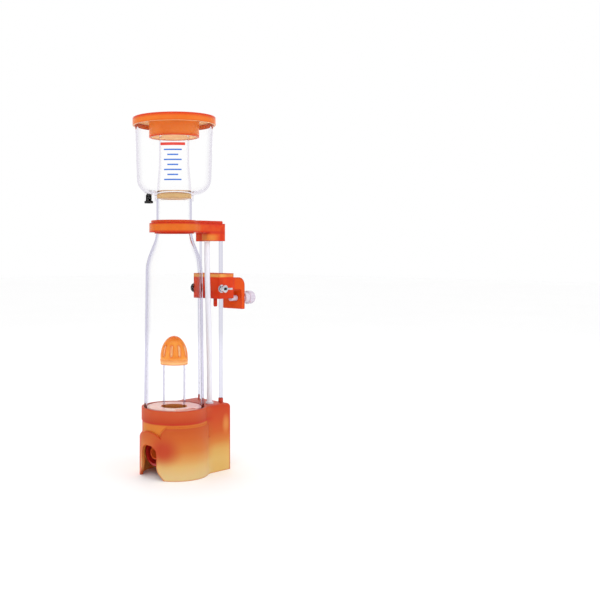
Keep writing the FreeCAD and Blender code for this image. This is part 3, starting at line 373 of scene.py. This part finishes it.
def bump(tree, shader, height, strength, distance, soft=0.0):
    """A fine relief; soft is the radius that sharp edges are shaded with."""
    node = tree.nodes.new("ShaderNodeBump")
    if soft:
        tree.links.new(bevel_normal(tree, soft), node.inputs["Normal"])
    node.inputs["Strength"].default_value = strength
    node.inputs["Distance"].default_value = distance
    tree.links.new(height, node.inputs["Height"])
    tree.links.new(node.outputs["Normal"], shader.inputs["Normal"])


def uneven_gloss(tree, shader, value, roughness, spread):
    """Roughness that wanders between two shares of itself."""
    lowest, highest = spread
    uneven = between(tree, value, roughness * lowest, roughness * highest)
    tree.links.new(uneven, shader.inputs["Roughness"])


def height_share(tree, low, high, waver):
    """0 at one height and 1 at another, wavering a little like flow in moulded plastic."""
    share = tree.nodes.new("ShaderNodeMapRange")
    share.inputs["From Min"].default_value = low
    share.inputs["From Max"].default_value = high
    tree.links.new(axis_place(tree, "Z"), share.inputs["Value"])
    drift = between(tree, noise(tree, BASE_WAVER_GRAIN, detail=2.0), -waver, waver)
    return combined(tree, "ADD", share.outputs["Result"], drift)


def edge_share(tree, radius, strength):
    """1 on edges and corners and 0 on flat faces: tinted plastic looks deeper where it turns."""
    geometry = tree.nodes.new("ShaderNodeNewGeometry")
    turn = dot_product(tree, bevel_normal(tree, radius), geometry.outputs["Normal"])
    return eased(tree, turn, *EDGE_TURN, strength)


def facing_share(tree, start, end):
    """0 face on and 1 where the surface turns away, for a clear wall's darker edge: partly its depth of
    colour, partly painted shade in place of refraction.
    """
    layer = tree.nodes.new("ShaderNodeLayerWeight")
    layer.inputs["Blend"].default_value = 0.5
    return eased(tree, layer.outputs["Facing"], start, end)


def outward(tree):
    """1 on a turned piece's outer surface and 0 on the surface of its bore."""
    geometry = tree.nodes.new("ShaderNodeNewGeometry")
    side = between(tree, geometry.outputs["Backfacing"], 1.0, -1.0)
    radial = tree.nodes.new("ShaderNodeVectorMath")
    radial.operation = "MULTIPLY"
    radial.inputs[1].default_value = (1.0, 1.0, 0.0)
    tree.links.new(object_position(tree), radial.inputs[0])
    unit = tree.nodes.new("ShaderNodeVectorMath")
    unit.operation = "NORMALIZE"
    tree.links.new(radial.outputs["Vector"], unit.inputs[0])
    turn = dot_product(tree, unit.outputs["Vector"], geometry.outputs["Normal"])
    return eased(tree, product(tree, side, turn), *LOOKS_OUT)


def downward(tree):
    """1 on faces that look down, which show the light that comes through from above."""
    geometry = tree.nodes.new("ShaderNodeNewGeometry")
    split = tree.nodes.new("ShaderNodeSeparateXYZ")
    tree.links.new(geometry.outputs["True Normal"], split.inputs["Vector"])
    return eased(tree, split.outputs["Z"], *LOOKS_DOWN)


# --- colours of the mouldings -------------------------------------------------------------------

def lid_colour(tree):
    """Orange with a red top edge and a paler skirt inside the cup, with painted light: pale faces that
    look down and a pale hollow under the top.
    """
    low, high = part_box("cup_lid")
    tall = axis_place(tree, "Z")
    outer = from_axis(tree)
    side = two_tone(tree, srgb(222, 112, 38), srgb(228, 124, 48))
    top_red = eased(tree, tall, *below(high[2], LID_TOP_RED), strength=0.85)
    side = mixed(tree, top_red, side, srgb(206, 52, 30))
    skirt = two_tone(tree, srgb(232, 122, 48), srgb(238, 138, 62))
    foot_red = eased(tree, tall, *above(low[2], LID_FOOT_RED), strength=0.8)
    skirt = mixed(tree, foot_red, skirt, srgb(226, 84, 42))
    side = mixed(tree, eased(tree, outer, *LID_SKIRT_RADIUS), side, skirt)
    # Painted light: down-facing faces at the outer rim and the hollow under the top are painted pale, for
    # light that comes through the lid.
    painted_light_brim = product(tree, downward(tree), eased(tree, outer, *LID_BRIM_RADIUS))
    side = mixed(tree, painted_light_brim, side, srgb(244, 206, 148))
    painted_light_hollow = product(tree, eased(tree, outer, *LID_CAVITY_RADIUS),
                     eased(tree, tall, *below(high[2], LID_CAVITY_DEPTH)))
    return mixed(tree, painted_light_hollow, side, srgb(255, 232, 190))


def cap_colour(tree):
    """Orange, pale at its foot, redder at its tip, and painted pale inside for light coming through."""
    low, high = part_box("diffuser_cap")
    tall = axis_place(tree, "Z")
    body = two_tone(tree, srgb(232, 134, 38), srgb(242, 166, 76), CAP_FLECKS)
    foot_pale = eased(tree, tall, *above(low[2], CAP_FOOT_PALE), strength=0.8)
    body = mixed(tree, foot_pale, body, srgb(246, 200, 140))
    top_red = eased(tree, tall, *below(high[2], CAP_TOP_RED), strength=0.7)
    body = mixed(tree, top_red, body, srgb(222, 98, 40))
    # Painted light: the bore's faces are painted near white, for light that comes through the cap.
    return mixed(tree, outward(tree), srgb(255, 238, 196), body)


def bracket_colour(tree):
    """Orange round the neck and red at the back, with red lines along its rims and a pale pad."""
    _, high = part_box("neck_bracket")
    tall = axis_place(tree, "Z")
    body = two_tone(tree, srgb(226, 110, 34), srgb(234, 128, 48), BRACKET_FLECKS)
    red = two_tone(tree, srgb(224, 62, 32), srgb(230, 92, 38), BRACKET_BACK_FLECKS)
    body = mixed(tree, eased(tree, axis_place(tree, "X"), *BRACKET_BACK), body, red)
    plate_foot = high[2] - BRACKET_PLATE
    for level in (plate_foot + BRACKET_EDGE_RISE, high[2] - BRACKET_RIM, high[2]):
        band = eased(tree, from_level(tree, level), *BRACKET_BAND, strength=0.75)
        body = mixed(tree, band, body, srgb(212, 54, 34))
    pad = product(tree, eased(tree, tall, *below(plate_foot, BRACKET_PAD_DEPTH), strength=0.8),
                  eased(tree, axis_place(tree, "X"), *BRACKET_PAD_BACK))
    return mixed(tree, pad, body, srgb(238, 158, 66))


def slider_colour(tree):
    """Red, more orange on its jaw, with a pale rim along the top."""
    _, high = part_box("clamp_slider")
    body = two_tone(tree, srgb(220, 56, 26), srgb(230, 76, 32), SLIDER_FLECKS)
    jaw = eased(tree, axis_place(tree, "X"), *SLIDER_JAW)
    body = mixed(tree, jaw, body, srgb(230, 88, 28))
    near = eased(tree, axis_place(tree, "X"), *SLIDER_NEAR)
    rim = product(tree, eased(tree, axis_place(tree, "Z"), *below(high[2], SLIDER_RIM_DEPTH)),
                  between(tree, near, SLIDER_RIM_FAR, 1.0))
    return mixed(tree, rim, body, srgb(244, 178, 92))


def seal_colour(tree):
    return two_tone(tree, srgb(244, 200, 138), srgb(246, 212, 156))


def nozzle_colour(tree):
    return two_tone(tree, srgb(224, 104, 36), srgb(232, 120, 44))


# The base's colours from its foot to its top, as shares of its height.
BASE_FRONT_STEPS = [
    (0.06, srgb(231, 201, 142)), (0.20, srgb(229, 190, 120)), (0.30, srgb(226, 162, 90)),
    (0.42, srgb(219, 130, 60)), (0.60, srgb(211, 104, 44)), (0.75, srgb(203, 90, 38)),
    (0.815, srgb(204, 56, 34)), (0.84, srgb(200, 74, 36)), (1.0, srgb(210, 92, 50)),
]
BASE_BACK_STEPS = [
    (0.2, srgb(230, 190, 112)), (0.34, srgb(228, 178, 98)), (0.46, srgb(222, 136, 62)),
    (0.60, srgb(214, 98, 40)), (0.78, srgb(211, 82, 36)), (1.0, srgb(206, 66, 30)),
]


def base_outside(tree):
    """Deep orange above and pale below, with redder edges, a painted red glow near the mouth and a
    painted highlight where the light gathers.
    """
    _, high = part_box("base_housing")
    share = height_share(tree, 0.0, high[2], BASE_WAVER)
    front = colour_steps(tree, share, BASE_FRONT_STEPS)
    back = colour_steps(tree, share, BASE_BACK_STEPS)
    colour = mixed(tree, eased(tree, axis_place(tree, "X"), *BASE_BACK), front, back)
    drum = product(tree, eased(tree, from_axis(tree), *BASE_DRUM_RADIUS, strength=0.85),
                   eased(tree, axis_place(tree, "Z"), *BASE_DRUM_TOP))
    colour = mixed(tree, drum, colour, srgb(230, 142, 54))
    # Painted red glow near the mouth.
    red_glow = distance_from(tree, RED_GLOW_PLACE, RED_GLOW_SHAPE)
    colour = mixed(tree, eased(tree, red_glow, *RED_GLOW_REACH, strength=0.9), colour, srgb(200, 66, 40))
    # Painted highlight on the block where the light gathers.
    painted_highlight = distance_from(tree, HIGHLIGHT_PLACE, HIGHLIGHT_SHAPE)
    colour = mixed(tree, eased(tree, painted_highlight, *HIGHLIGHT_REACH, strength=0.6), colour, srgb(240, 170, 86))
    corner = product(tree, eased(tree, axis_place(tree, "X"), *CORNER_BACK, strength=0.8),
                     eased(tree, from_middle(tree), *CORNER_OUT))
    colour = mixed(tree, corner, colour, srgb(210, 66, 38))
    colour = mixed(tree, edge_share(tree, BASE_EDGE, strength=0.75), colour, srgb(208, 64, 36))
    jamb = product(tree, eased(tree, axis_place(tree, "Y"), *JAMB_SIDE),
                   eased(tree, axis_place(tree, "X"), *JAMB_FRONT, strength=0.85))
    return mixed(tree, jamb, colour, srgb(224, 84, 40))


def chamber_floor(tree):
    """1 on the floor inside the chamber, round the bubble tube's well."""
    across = from_axis(tree)
    ring = product(tree, eased(tree, across, *FLOOR_OUTER), eased(tree, across, *FLOOR_INNER))
    return product(tree, ring, eased(tree, axis_place(tree, "Z"), *FLOOR_HEIGHT))


def base_inside(tree, colour, inside):
    """The floor painted pale pink, a painted reflection of the bright chamber around it and darker
    towards the back, and the orange well, laid over the outside's colour.
    """
    # Painted reflection: the floor's pale pink stands in for the sheen of the bright chamber on it.
    pale = two_tone(tree, srgb(244, 200, 182), srgb(238, 184, 168), FLOOR_FLECKS)
    floor = mixed(tree, eased(tree, axis_place(tree, "X"), *FLOOR_BACK), pale, srgb(226, 148, 146))
    colour = mixed(tree, inside, colour, floor)
    well = product(tree, eased(tree, from_axis(tree), *WELL_RADIUS),
                   eased(tree, axis_place(tree, "Z"), *WELL_HEIGHT))
    return mixed(tree, well, colour, srgb(240, 150, 60))


# --- materials ----------------------------------------------------------------------------------

def clear_acrylic(name, face, edge, turn, roughness, tube=True):
    """Polished acrylic: clear face on, violet-grey where its wall turns away: partly its own tint, partly
    painted shade in place of refraction.
    """
    material, tree, shader = blank_material(name)
    turned = facing_share(tree, *turn)
    if tube:
        turned = product(tree, turned, outward(tree))
    tree.links.new(mixed(tree, turned, face, edge), shader.inputs["Base Color"])
    shader.inputs["Transmission Weight"].default_value = 1.0
    shader.inputs["IOR"].default_value = CLEAR_IOR
    uneven_gloss(tree, shader, noise(tree, CLEAR_GRAIN), roughness, CLEAR_SPREAD)
    shader.inputs["Coat Weight"].default_value = CLEAR_COAT
    return material


def orange_body(name, colour_of, edge, roughness, transmission, glow=0.03):
    """Tinted moulding: its own colour on its faces, red on its edges, and a painted glow (its colour
    emitted) in place of scattered light.
    """
    material, tree, shader = blank_material(name)
    edges = edge_share(tree, TINT_EDGE, TINT_EDGE_SHARE)
    colour = mixed(tree, edges, colour_of(tree), edge)
    tree.links.new(colour, shader.inputs["Base Color"])
    # Painted glow: the colour is also emitted, so the moulding glows though it is no lamp.
    tree.links.new(colour, shader.inputs["Emission Color"])
    shader.inputs["Emission Strength"].default_value = glow
    shader.inputs["Transmission Weight"].default_value = transmission
    shader.inputs["IOR"].default_value = TINT_IOR
    shader.inputs["Specular IOR Level"].default_value = TINT_SPECULAR
    uneven_gloss(tree, shader, noise(tree, TINT_GRAIN), roughness, TINT_SPREAD)
    relief = noise(tree, TINT_RELIEF_GRAIN, detail=2.0)
    bump(tree, shader, relief, TINT_RELIEF, RELIEF_DEPTH, soft=SOFT_EDGE)
    return material


def frosted_orange(name):
    """The base: translucent satin moulding that glows outside and is glossy on its inner floor, which
    also carries a painted glow (its colour emitted).
    """
    material, tree, shader = blank_material(name)
    inside = chamber_floor(tree)
    colour = base_inside(tree, base_outside(tree), inside)
    tree.links.new(colour, shader.inputs["Base Color"])
    shader.inputs["Transmission Weight"].default_value = BASE_TRANSMISSION
    shader.inputs["IOR"].default_value = BASE_IOR
    shader.inputs["Specular IOR Level"].default_value = BASE_SPECULAR
    # Painted glow: only the chamber's floor emits its colour, for light that reaches it through the clear
    # walls; the rest emits black.
    tree.links.new(mixed(tree, inside, BLACK, colour), shader.inputs["Emission Color"])
    shader.inputs["Emission Strength"].default_value = FLOOR_PAINTED_GLOW
    shader.inputs["Subsurface Weight"].default_value = BASE_SCATTER
    shader.inputs["Subsurface Radius"].default_value = BASE_SCATTER_RADIUS
    shader.inputs["Subsurface Scale"].default_value = SCATTER_DEPTH
    gloss = tree.nodes.new("ShaderNodeMix")
    gloss.data_type = "FLOAT"
    gloss.inputs["B"].default_value = BASE_INSIDE_GLOSS
    tree.links.new(inside, gloss.inputs["Factor"])
    tree.links.new(between(tree, noise(tree, BASE_GLOSS_GRAIN), *BASE_GLOSS), gloss.inputs["A"])
    tree.links.new(gloss.outputs["Result"], shader.inputs["Roughness"])
    relief = noise(tree, BASE_RELIEF_GRAIN, detail=4.0, roughness=0.7)
    bump(tree, shader, relief, BASE_RELIEF, BASE_RELIEF_DEPTH)
    return material


def soft_clear(name, face, edge, roughness, transmission):
    """Milky plastic or silicone: pale face on, greyer where it turns away: partly its own tint, partly
    painted shade.
    """
    material, tree, shader = blank_material(name)
    lighter = tuple(min(c * MILK_LIGHTER, 1.0) for c in face)
    mottled = two_tone(tree, face, lighter, MILK_FLECKS)
    turned = facing_share(tree, *MILK_TURN)
    tree.links.new(mixed(tree, turned, mottled, edge), shader.inputs["Base Color"])
    shader.inputs["Transmission Weight"].default_value = transmission
    shader.inputs["IOR"].default_value = MILK_IOR
    uneven_gloss(tree, shader, noise(tree, MILK_GRAIN), roughness, EVEN_SPREAD)
    bump(tree, shader, noise(tree, MILK_RELIEF_GRAIN), MILK_RELIEF, RELIEF_DEPTH)
    return material


def plain(name, first, second, roughness, grain, relief, metallic=0.0, transmission=0.0,
          stretch=None, scatter=0.0):
    """A moulded, rubber or metal finish: two near colours, uneven gloss and a fine grain."""
    material, tree, shader = blank_material(name)
    mottled = noise(tree, grain * MOTTLE_SHARE, stretch=stretch)
    colours = colour_steps(tree, mottled, list(zip(FLECKS, (first, second))))
    tree.links.new(colours, shader.inputs["Base Color"])
    shader.inputs["Metallic"].default_value = metallic
    shader.inputs["Transmission Weight"].default_value = transmission
    shader.inputs["Subsurface Weight"].default_value = scatter
    shader.inputs["Subsurface Scale"].default_value = SCATTER_DEPTH
    uneven_gloss(tree, shader, mottled, roughness, EVEN_SPREAD)
    fine = noise(tree, grain, detail=4.0, roughness=0.6, stretch=stretch)
    bump(tree, shader, fine, relief, RELIEF_DEPTH)
    return material


PLAIN_FINISHES = {
    "red_plastic": dict(first=srgb(205, 48, 14), second=srgb(222, 62, 20), roughness=0.25,
                        grain=300.0, relief=0.05, transmission=0.3),
    "pump_red": dict(first=srgb(150, 22, 22), second=srgb(172, 30, 26), roughness=0.3,
                     grain=300.0, relief=0.05, scatter=0.2),
    "silicone": dict(first=srgb(226, 222, 216), second=srgb(236, 232, 226), roughness=0.45,
                     grain=200.0, relief=0.05, transmission=0.5),
    "orange_silicone": dict(first=srgb(232, 150, 92), second=srgb(240, 176, 122), roughness=0.4,
                            grain=200.0, relief=0.05, transmission=0.35, scatter=0.3),
    "black_rubber": dict(first=srgb(14, 14, 15), second=srgb(22, 22, 24), roughness=0.7,
                         grain=500.0, relief=0.02),
    "black_plastic": dict(first=srgb(22, 22, 24), second=srgb(32, 32, 35), roughness=0.4,
                          grain=600.0, relief=0.12),
    "white_plastic": dict(first=srgb(228, 228, 226), second=srgb(238, 238, 236), roughness=0.35,
                          grain=300.0, relief=0.06),
    "magnet": dict(first=srgb(52, 52, 56), second=srgb(70, 70, 74), roughness=0.5,
                   grain=400.0, relief=0.1, metallic=0.6),
    "ceramic_shaft": dict(first=srgb(236, 234, 228), second=srgb(244, 242, 238), roughness=0.15,
                          grain=400.0, relief=0.02),
    "black_steel": dict(first=srgb(26, 26, 30), second=srgb(44, 44, 50), roughness=0.28,
                        grain=500.0, relief=0.06, metallic=0.7),
    "stainless": dict(first=srgb(176, 178, 186), second=srgb(206, 208, 214), roughness=0.22,
                      grain=700.0, relief=0.08, metallic=1.0, stretch=(1.0, 6.0, 1.0)),
    "print_blue": dict(first=srgb(36, 96, 190), second=srgb(46, 112, 204), roughness=0.4,
                       grain=500.0, relief=0.03),
    "print_red": dict(first=srgb(206, 44, 30), second=srgb(216, 56, 36), roughness=0.4,
                      grain=500.0, relief=0.03),
}


def make_materials():
    """A finish for every material slot of the CAD, and two for the print."""
    materials = {name: plain(name, **finish) for name, finish in PLAIN_FINISHES.items()}
    materials["clear_acrylic"] = clear_acrylic(
        "clear_acrylic", WHITE, srgb(203, 200, 219), turn=(0.34, 0.66), roughness=POLISHED)
    # The rod's grey-lilac face and darker edge are partly painted shade, in place of what the solid rod
    # refracts.
    materials["rod_acrylic"] = clear_acrylic(
        "rod_acrylic", srgb(222, 221, 233), srgb(176, 172, 196), turn=(0.2, 0.9), roughness=0.05,
        tube=False)
    materials["orange_clear"] = orange_body(
        "orange_clear", nozzle_colour, srgb(206, 60, 28), roughness=0.2, transmission=0.3)
    materials["orange_frosted"] = frosted_orange("orange_frosted")
    materials["hose_silicone"] = soft_clear(
        "hose_silicone", srgb(246, 245, 253), srgb(198, 195, 216), roughness=0.3, transmission=0.15)
    materials["knob_plastic"] = soft_clear(
        "knob_plastic", srgb(226, 216, 230), srgb(186, 178, 200), roughness=0.25, transmission=0.2)
    return materials


def node_finishes():
    """Mouldings of one plastic that differ in thickness, and so in colour, each with a painted glow."""
    return {
        # The lid and the cap carry a stronger painted glow.
        "cup_lid": orange_body(
            "orange_lid", lid_colour, srgb(206, 56, 28), roughness=0.22, transmission=0.2, glow=0.1),
        "diffuser_cap": orange_body(
            "orange_cap", cap_colour, srgb(220, 96, 34), roughness=0.16, transmission=0.3, glow=0.14),
        "neck_bracket": orange_body(
            "orange_bracket", bracket_colour, srgb(216, 52, 28), roughness=0.2, transmission=0.3),
        "clamp_slider": orange_body(
            "orange_slider", slider_colour, srgb(204, 44, 24), roughness=0.2, transmission=0.3),
        "cup_seal_ring": orange_body(
            "orange_seal", seal_colour, srgb(236, 150, 90), roughness=0.4, transmission=0.2),
        "bubble_tube": clear_acrylic(
            "tube_acrylic", WHITE, srgb(206, 203, 221), turn=(0.28, 0.56), roughness=POLISHED),
        "collection_cup": clear_acrylic(
            "cup_acrylic", WHITE, srgb(226, 222, 232), turn=(0.38, 0.78), roughness=POLISHED),
        "riser_tube": clear_acrylic(
            "riser_acrylic", WHITE, srgb(234, 230, 238), turn=(0.34, 0.66), roughness=POLISHED),
        "lower_hose_barb": plain(
            "barb_grey", srgb(206, 204, 212), srgb(220, 218, 226), roughness=0.35, grain=300.0,
            relief=0.05),
    }


def finish_nodes(materials, special):
    """Every CAD node gets its slot's finish, or its own."""
    slots = {part["node"]: part["material_slot"] for part in frame["record"]["subparts"]}
    for name, piece in NODES.items():
        piece.data.materials.clear()
        piece.data.materials.append(special.get(name, materials[slots[name]]))


# --- print --------------------------------------------------------------------------------------

def level_mark(name, height, half_degrees, thickness, material):
    """A bar printed on the cup's outer wall, following its curve."""
    _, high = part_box("collection_cup")
    spots = []
    for i in range(PRINT_SIDES + 1):
        turn = 2 * half_degrees * i / PRINT_SIDES
        angle = math.radians(PRINT_AZIMUTH - half_degrees + turn)
        for z, out in ((height, 0.0), (height, PRINT_THICKNESS),
                       (height + thickness, PRINT_THICKNESS), (height + thickness, 0.0)):
            radius = high[0] - (high[2] - z) * CUP_TAPER + out
            spots.append((radius * math.cos(angle), radius * math.sin(angle), z))
    faces = [(4 * i + a, 4 * i + 4 + a, 4 * i + 4 + b, 4 * i + b)
             for i in range(PRINT_SIDES) for a, b in ((0, 1), (1, 2), (2, 3), (3, 0))]
    last = 4 * PRINT_SIDES
    faces += [(0, 1, 2, 3), (last + 3, last + 2, last + 1, last)]
    mesh = bpy.data.meshes.new(name)
    mesh.from_pydata(spots, [], faces)
    mesh.materials.append(material)
    piece = bpy.data.objects.new(name, mesh)
    bpy.context.scene.collection.objects.link(piece)
    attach(piece, "cup")


def make_print(materials):
    """A plain level scale: long and short bars in turn, with a thicker one at the top."""
    for i in range(PRINT_TICKS):
        half = PRINT_LONG if i % 2 == 0 else PRINT_SHORT
        level_mark("level_mark_%d" % i, PRINT_LOW + i * PRINT_STEP, half, PRINT_BAR,
                   materials["print_blue"])
    level_mark("level_mark_full", PRINT_LOW + PRINT_TICKS * PRINT_STEP, PRINT_FULL, 2 * PRINT_BAR,
               materials["print_red"])


# --- stage --------------------------------------------------------------------------------------

def make_stage():
    """A plain pale floor."""
    mesh = bpy.data.meshes.new("floor")
    corners = [(x * FLOOR_HALF, y * FLOOR_HALF, 0) for x, y in ((-1, -1), (1, -1), (1, 1), (-1, 1))]
    mesh.from_pydata(corners, [], [(0, 1, 2, 3)])
    floor = bpy.data.objects.new("floor", mesh)
    bpy.context.scene.collection.objects.link(floor)
    material, tree, shader = blank_material("pale_floor")
    pale = list(zip(FLECKS, (srgb(253, 253, 253), srgb(254, 254, 254))))
    colours = colour_steps(tree, noise(tree, FLOOR_GRAIN), pale)
    tree.links.new(colours, shader.inputs["Base Color"])
    shader.inputs["Roughness"].default_value = FLOOR_ROUGHNESS
    mesh.materials.append(material)


def make_light():
    """A white studio and three soft lamps that don't show through the clear walls."""
    world = bpy.data.worlds.new("studio")
    bpy.context.scene.world = world
    world.use_nodes = True
    background = world.node_tree.nodes["Background"]
    background.inputs["Color"].default_value = WHITE
    background.inputs["Strength"].default_value = 1.0
    for name, place, size, power in LAMPS:
        light = bpy.data.lights.new(name, "AREA")
        light.size = size
        light.energy = power
        lamp = bpy.data.objects.new(name, light)
        lamp.location = place
        lamp.visible_camera = False
        lamp.visible_transmission = False
        aim = Vector(LAMP_AIM) - Vector(place)
        lamp.rotation_mode = "QUATERNION"
        lamp.rotation_quaternion = aim.to_track_quat("-Z", "Y")
        bpy.context.scene.collection.objects.link(lamp)


def make_camera():
    """A level camera at the front left."""
    data = bpy.data.cameras.new("camera")
    data.sensor_width = FRAME_WIDTH
    data.lens = LENS
    data.shift_x = SHIFT_RIGHT
    data.shift_y = SHIFT_UP
    camera = bpy.data.objects.new("camera", data)
    bpy.context.scene.collection.objects.link(camera)
    angle = math.radians(CAMERA_AZIMUTH)
    backwards = Vector((math.sin(angle), -math.cos(angle), 0.0))
    camera.location = backwards * CAMERA_DISTANCE + Vector((0, 0, CAMERA_HEIGHT))
    camera.rotation_mode = "QUATERNION"
    camera.rotation_quaternion = (-backwards).to_track_quat("-Z", "Y")
    bpy.context.scene.camera = camera


def set_rendering():
    """Plain colours, and enough bounces for the nested clear walls."""
    scene = bpy.context.scene
    scene.view_settings.view_transform = "Standard"
    scene.view_settings.look = "None"
    scene.cycles.max_bounces = CLEAR_BOUNCES
    scene.cycles.transmission_bounces = CLEAR_BOUNCES
    scene.cycles.transparent_max_bounces = TRANSPARENT_BOUNCES
    scene.cycles.glossy_bounces = PLAIN_BOUNCES
    scene.cycles.diffuse_bounces = PLAIN_BOUNCES


make_camera()
make_stage()
make_light()
set_rendering()
MATERIALS = make_materials()
finish_nodes(MATERIALS, node_finishes())
make_print(MATERIALS)
